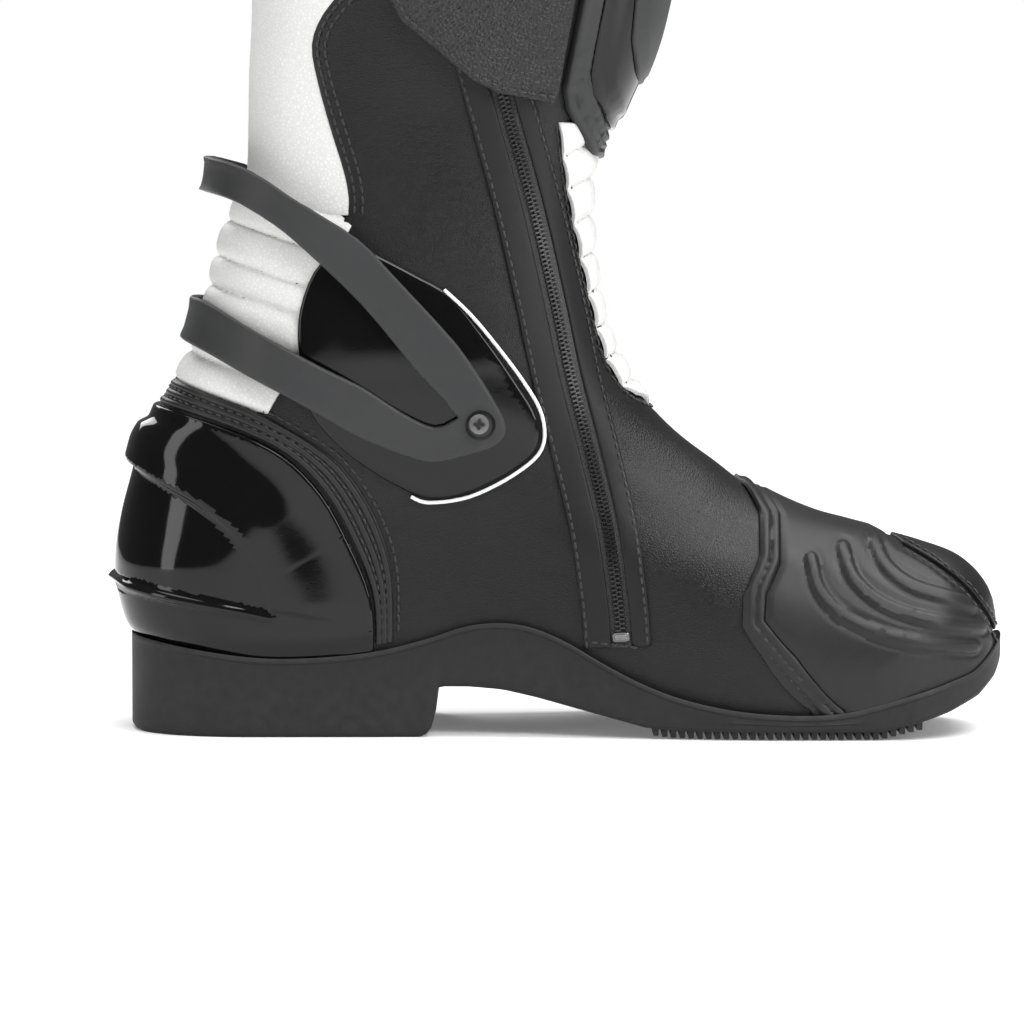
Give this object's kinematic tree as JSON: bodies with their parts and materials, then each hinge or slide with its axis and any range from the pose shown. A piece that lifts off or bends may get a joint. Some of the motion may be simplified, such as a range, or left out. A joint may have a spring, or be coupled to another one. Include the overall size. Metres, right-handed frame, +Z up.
{
  "type": "motorcycle boot",
  "caption": "Mid-calf motorcycle road boot for the left foot: hinged ankle brace, moulded heel and ankle cups, side zip under a calf flap, shift pad, toe slider and heeled rubber sole.",
  "frame": {"origin": "on the heel's ground face, below the middle of the heel seat and on the boot's centre line", "axes": "+X to the toe, +Y to the outer (lateral) side, +Z up along the shaft"},
  "size_m": [0.3014, 0.1139, 0.3298],
  "materials": {
    "rubber": "matt moulded rubber",
    "board": "cellulose insole board",
    "black_textile": "knitted lining textile over foam",
    "steel": "plain steel",
    "black_leather": "smooth black leather, fine grain, satin",
    "pebble_leather": "coarse pebble-grain black leather",
    "white_leather": "smooth white leather, fine grain",
    "gloss_tpu": "polished black moulded polyurethane",
    "matte_tpu": "matt dark grey moulded polyurethane",
    "pad_rubber": "soft rubber gear-shift pad",
    "dark_steel": "blackened steel",
    "zip_plastic": "moulded plastic zip teeth on tape",
    "white_edging": "white edge bead"
  },
  "bodies": {
    "foot": {"outsole": "rubber", "forefoot_tread": "rubber", "insole_board": "board", "footbed": "black_textile", "steel_shank": "steel", "foot_upper": "black_leather", "foot_lining": "black_textile", "toe_puff": "matte_tpu", "heel_stiffener": "matte_tpu", "heel_cup": "gloss_tpu", "heel_collar_trim": "matte_tpu", "shift_pad": "pad_rubber", "shift_pad_trim": "matte_tpu", "toe_cap": "black_leather", "lateral_white_panel": "white_leather", "toe_slider": "gloss_tpu", "slider_screw_rear": "dark_steel", "slider_screw_front": "dark_steel", "rear_accordion": "white_leather", "instep_gusset": "black_leather", "zip_placket_foot": "matte_tpu", "zip_chain_foot": "zip_plastic", "zip_stop_bottom": "dark_steel"},
    "shaft": {"shaft_leather": "black_leather", "shaft_lining": "black_textile", "collar_padding": "black_textile", "rear_white_panel": "white_leather", "front_accordion": "white_leather", "shin_plate_trim": "matte_tpu", "shin_plate": "gloss_tpu", "shin_plate_insert": "matte_tpu", "ankle_cup_medial": "gloss_tpu", "ankle_cup_lateral": "gloss_tpu", "ankle_cup_edge_medial": "white_edging", "ankle_cup_edge_lateral": "white_edging", "pivot_nut_medial": "steel", "pivot_nut_lateral": "steel", "brace_screw_medial": "dark_steel", "brace_screw_lateral": "dark_steel", "zip_placket_rear": "matte_tpu", "zip_placket_front": "matte_tpu", "zip_chain_shaft": "zip_plastic", "zip_stop_top": "dark_steel", "flap_loop_patch": "black_textile"},
    "brace": {"ankle_brace": "matte_tpu"},
    "slider": {"zip_slider": "dark_steel", "zip_pull": "dark_steel"},
    "flap": {"calf_flap": "pebble_leather", "flap_hook_patch": "black_textile"}
  },
  "joints": [
    {"name": "ankle_flex", "type": "hinge", "parent": "foot", "child": "shaft", "pos_m": [0.0636, 0, 0.1045], "axis": [0, 1, 0], "range_deg": [0, 20], "deforming": ["rear_accordion", "instep_gusset"]},
    {"name": "brace_pivot", "type": "hinge", "parent": "shaft", "child": "brace", "pos_m": [0.0636, 0, 0.1045], "axis": [0, 1, 0], "range_deg": [-10, 0]},
    {"name": "zip_slide", "type": "hinge", "parent": "shaft", "child": "slider", "pos_m": [-0.11986, -0.62088, 0.09114], "axis": [0.9152, -0.348, 0.2034], "range_deg": [-22.36, 0]},
    {"name": "calf_flap_hinge", "type": "hinge", "parent": "shaft", "child": "flap", "pos_m": [0.09409, -0.03969, 0.21276], "axis": [-0.1044, 0.137, -0.9851], "range_deg": [-110, 0]}
  ],
  "couplings": [
    {"joint": "brace_pivot", "follows": "ankle_flex", "ratio": -0.5}
  ]
}
